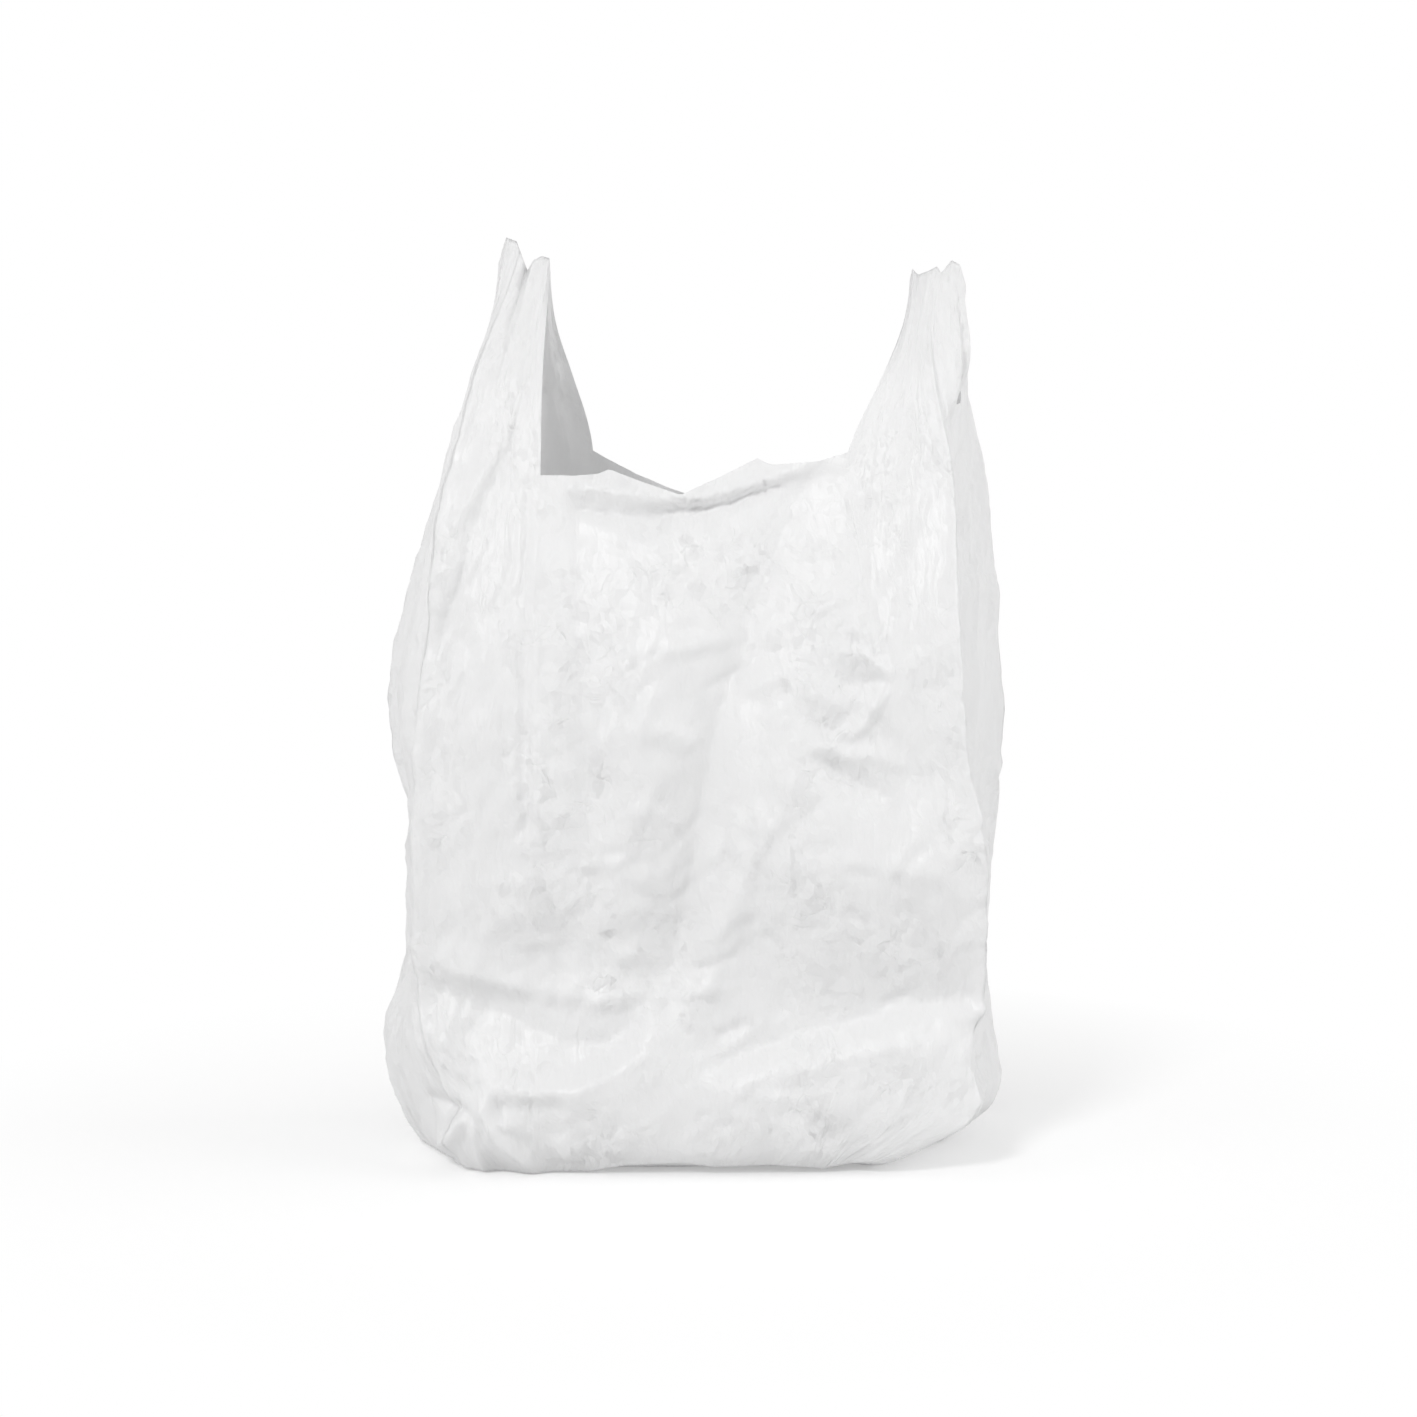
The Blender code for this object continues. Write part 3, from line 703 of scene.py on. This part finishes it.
def facet_normal(tree, warped, patch):
    """Normals of small flat facets, each tilted its own way, most where the film is crumpled."""
    strength = tree.nodes.new("ShaderNodeCombineXYZ")
    for socket in strength.inputs:
        tree.links.new(patch, socket)
    tilted = tree.nodes.new("ShaderNodeNewGeometry").outputs["Normal"]
    for scale, tilt in FACETS:
        lean = centred(tree, cells(tree, warped, scale).outputs["Color"])
        lean = vectors(tree, "SCALE", lean, scale=tilt)
        lean = vectors(tree, "MULTIPLY", lean, second=strength.outputs[0])
        tilted = vectors(tree, "ADD", tilted, second=lean)
    return vectors(tree, "NORMALIZE", tilted)


def fine_height(tree, place, warped, patch):
    """Height of the hard crease lines, the streaks and the grain of the film."""
    breaks = noise(tree, place, BREAK_SCALE, 2).outputs["Fac"]
    broken = spread(tree, breaks, *BREAK_RANGE, 0.0, 1.0)
    lines = []
    for scale, depth in CREASE_LINES:
        edge = cells(tree, warped, scale, "DISTANCE_TO_EDGE").outputs["Distance"]
        line = spread(tree, edge, 0.0, CREASE_WIDTH, -depth, 0.0)
        lines.append(maths(tree, "MULTIPLY", line, second=broken))
    creases = maths(tree, "MULTIPLY", maths(tree, "ADD", *lines), second=patch)
    grain = noise(tree, place, GRAIN_SCALE, 2).outputs["Fac"]
    grain = maths(tree, "MULTIPLY", grain, value=GRAIN_HEIGHT)
    stretched = vectors(tree, "MULTIPLY", warped, value=STREAKS)
    streaks = maths(tree, "MULTIPLY", noise(tree, stretched, 1, 3).outputs["Fac"], value=STREAK_HEIGHT)
    return maths(tree, "ADD", maths(tree, "ADD", creases, second=grain), second=streaks)


def film_material():
    """Milky white film: satin, a little light coming through it, crumpled into fine facets."""
    material, tree = new_material("white_film")
    add, link = tree.nodes.new, tree.links.new
    flat = add("ShaderNodeUVMap")
    flat.uv_map = "film"
    place = flat.outputs[0]
    cloud = noise(tree, place, CLOUD_SCALE, 5).outputs["Fac"]
    patch = spread(tree, cloud, *CLOUD_CRUMPLED, CRUMPLED_LEAST, 1.0)

    # Places pushed about a little, so that no facet has a ruled edge
    drift = centred(tree, noise(tree, place, DRIFT_SCALE, 3).outputs["Color"])
    warped = vectors(tree, "ADD", place, vectors(tree, "SCALE", drift, scale=FACET_DRIFT))

    bump = add("ShaderNodeBump")
    bump.inputs["Strength"].default_value = BUMP_STRENGTH
    bump.inputs["Distance"].default_value = BUMP_DISTANCE
    link(fine_height(tree, place, warped, patch), bump.inputs["Height"])
    link(facet_normal(tree, warped, patch), bump.inputs["Normal"])

    tone = add("ShaderNodeMix")
    tone.data_type = "RGBA"
    tone.inputs["A"].default_value, tone.inputs["B"].default_value = FILM_TONES
    link(cloud, tone.inputs["Factor"])
    shader = add("ShaderNodeBsdfPrincipled")
    shader.inputs["IOR"].default_value = FILM_IOR
    link(tone.outputs["Result"], shader.inputs["Base Color"])
    link(spread(tree, cloud, *CLOUD_ROUGH, *FILM_ROUGHNESS), shader.inputs["Roughness"])
    link(bump.outputs["Normal"], shader.inputs["Normal"])
    through = add("ShaderNodeBsdfTranslucent")
    through.inputs["Color"].default_value = THROUGH_TONE
    link(bump.outputs["Normal"], through.inputs["Normal"])
    mix = add("ShaderNodeMixShader")
    mix.inputs["Fac"].default_value = THROUGH_SHARE
    link(shader.outputs[0], mix.inputs[1])
    link(through.outputs[0], mix.inputs[2])
    out = add("ShaderNodeOutputMaterial")
    link(mix.outputs[0], out.inputs["Surface"])
    return material


def make_bag():
    vertices, flat, faces = bag_surface()
    mesh = bpy.data.meshes.new("film_skin")
    mesh.from_pydata((fitted(vertices) * MM).tolist(), [], faces)
    uv = mesh.uv_layers.new(name="film")
    corners = np.empty(len(mesh.loops), int)
    mesh.loops.foreach_get("vertex_index", corners)
    uv.data.foreach_set("uv", (flat[corners] * MM).ravel())
    mesh.shade_smooth()
    mesh.materials.append(film_material())
    bag = bpy.data.objects.new("film_skin", mesh)
    bpy.context.scene.collection.objects.link(bag)
    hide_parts("bag_film")
    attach(bag, "root")
    return bag


def seen_rays(tree):
    """One for the rays that see the floor and backdrop, not for those that light the bag."""
    path = tree.nodes.new("ShaderNodeLightPath").outputs
    either = maths(tree, "MAXIMUM", path["Is Camera Ray"], second=path["Is Glossy Ray"])
    return maths(tree, "MAXIMUM", either, second=path["Is Transmission Ray"])


def mixed(tree, share, first, second):
    """Two shaders mixed by a share."""
    mix = tree.nodes.new("ShaderNodeMixShader")
    tree.links.new(share, mix.inputs["Fac"])
    tree.links.new(first, mix.inputs[1])
    tree.links.new(second, mix.inputs[2])
    return mix.outputs[0]


def matte(tree, colour):
    node = tree.nodes.new("ShaderNodeBsdfDiffuse")
    node.inputs["Color"].default_value = colour
    return node.outputs[0]


def make_floor():
    """Pale floor that is white to the camera away from the bag and takes its shadow."""
    material, tree = new_material("floor")
    add, link = tree.nodes.new, tree.links.new
    glow = add("ShaderNodeEmission")
    glow.inputs["Strength"].default_value = FLOOR_GLOW
    near = add("ShaderNodeAddShader")
    link(matte(tree, FLOOR_SEEN), near.inputs[0])
    link(glow.outputs[0], near.inputs[1])
    away = add("ShaderNodeVectorMath")
    away.operation = "LENGTH"
    link(add("ShaderNodeNewGeometry").outputs["Position"], away.inputs[0])
    far = spread(tree, away.outputs["Value"], *FLOOR_FADE, 0.0, 1.0)
    white = add("ShaderNodeEmission").outputs[0]
    seen = mixed(tree, far, near.outputs[0], white)
    both = mixed(tree, seen_rays(tree), matte(tree, FLOOR_TONE), seen)
    out = add("ShaderNodeOutputMaterial")
    link(both, out.inputs["Surface"])
    mesh = bpy.data.meshes.new("floor")
    corners = [(x * FLOOR_HALF, y * FLOOR_HALF, 0) for x, y in ((-1, -1), (1, -1), (1, 1), (-1, 1))]
    mesh.from_pydata(corners, [], [(0, 1, 2, 3)])
    mesh.materials.append(material)
    floor = bpy.data.objects.new("floor", mesh)
    floor.location.z = cad_box[0][2] - FLOOR_GAP
    bpy.context.scene.collection.objects.link(floor)


def make_world():
    """Soft light all round, white to the camera."""
    world = bpy.data.worlds.new("studio")
    bpy.context.scene.world = world
    world.use_nodes = True
    tree = world.node_tree
    tree.nodes.clear()
    sky = []
    for strength in (SKY_STRENGTH, 1.0):
        background = tree.nodes.new("ShaderNodeBackground")
        background.inputs["Color"].default_value = (1, 1, 1, 1)
        background.inputs["Strength"].default_value = strength
        sky.append(background.outputs[0])
    out = tree.nodes.new("ShaderNodeOutputWorld")
    tree.links.new(mixed(tree, seen_rays(tree), *sky), out.inputs["Surface"])


def add_sun(name, azimuth, elevation, strength, width):
    """Soft light from azimuth degrees to the left of the front, elevation degrees up."""
    light = bpy.data.lights.new(name, "SUN")
    light.energy = strength
    light.angle = math.radians(width)
    sun = bpy.data.objects.new(name, light)
    a, e = math.radians(azimuth), math.radians(elevation)
    toward = Vector((-math.sin(a) * math.cos(e), -math.cos(a) * math.cos(e), math.sin(e)))
    sun.location = toward * LIGHT_DISTANCE
    look_at(sun, LIGHT_TARGET)
    bpy.context.scene.collection.objects.link(sun)


def add_camera():
    camera = bpy.data.cameras.new("camera")
    camera.angle = 2 * math.atan(FRAME_WIDTH / 2 / CAMERA_DISTANCE)
    eye = bpy.data.objects.new("camera", camera)
    e = math.radians(CAMERA_ELEVATION)
    offset = Vector((0, -math.cos(e), math.sin(e))) * CAMERA_DISTANCE
    eye.location = Vector(CAMERA_TARGET) + offset
    look_at(eye, CAMERA_TARGET)
    bpy.context.scene.collection.objects.link(eye)
    bpy.context.scene.camera = eye


make_bag()
make_floor()
make_world()
for sun_settings in SUNS:
    add_sun(*sun_settings)
add_camera()
bpy.context.scene.view_settings.view_transform = "Standard"
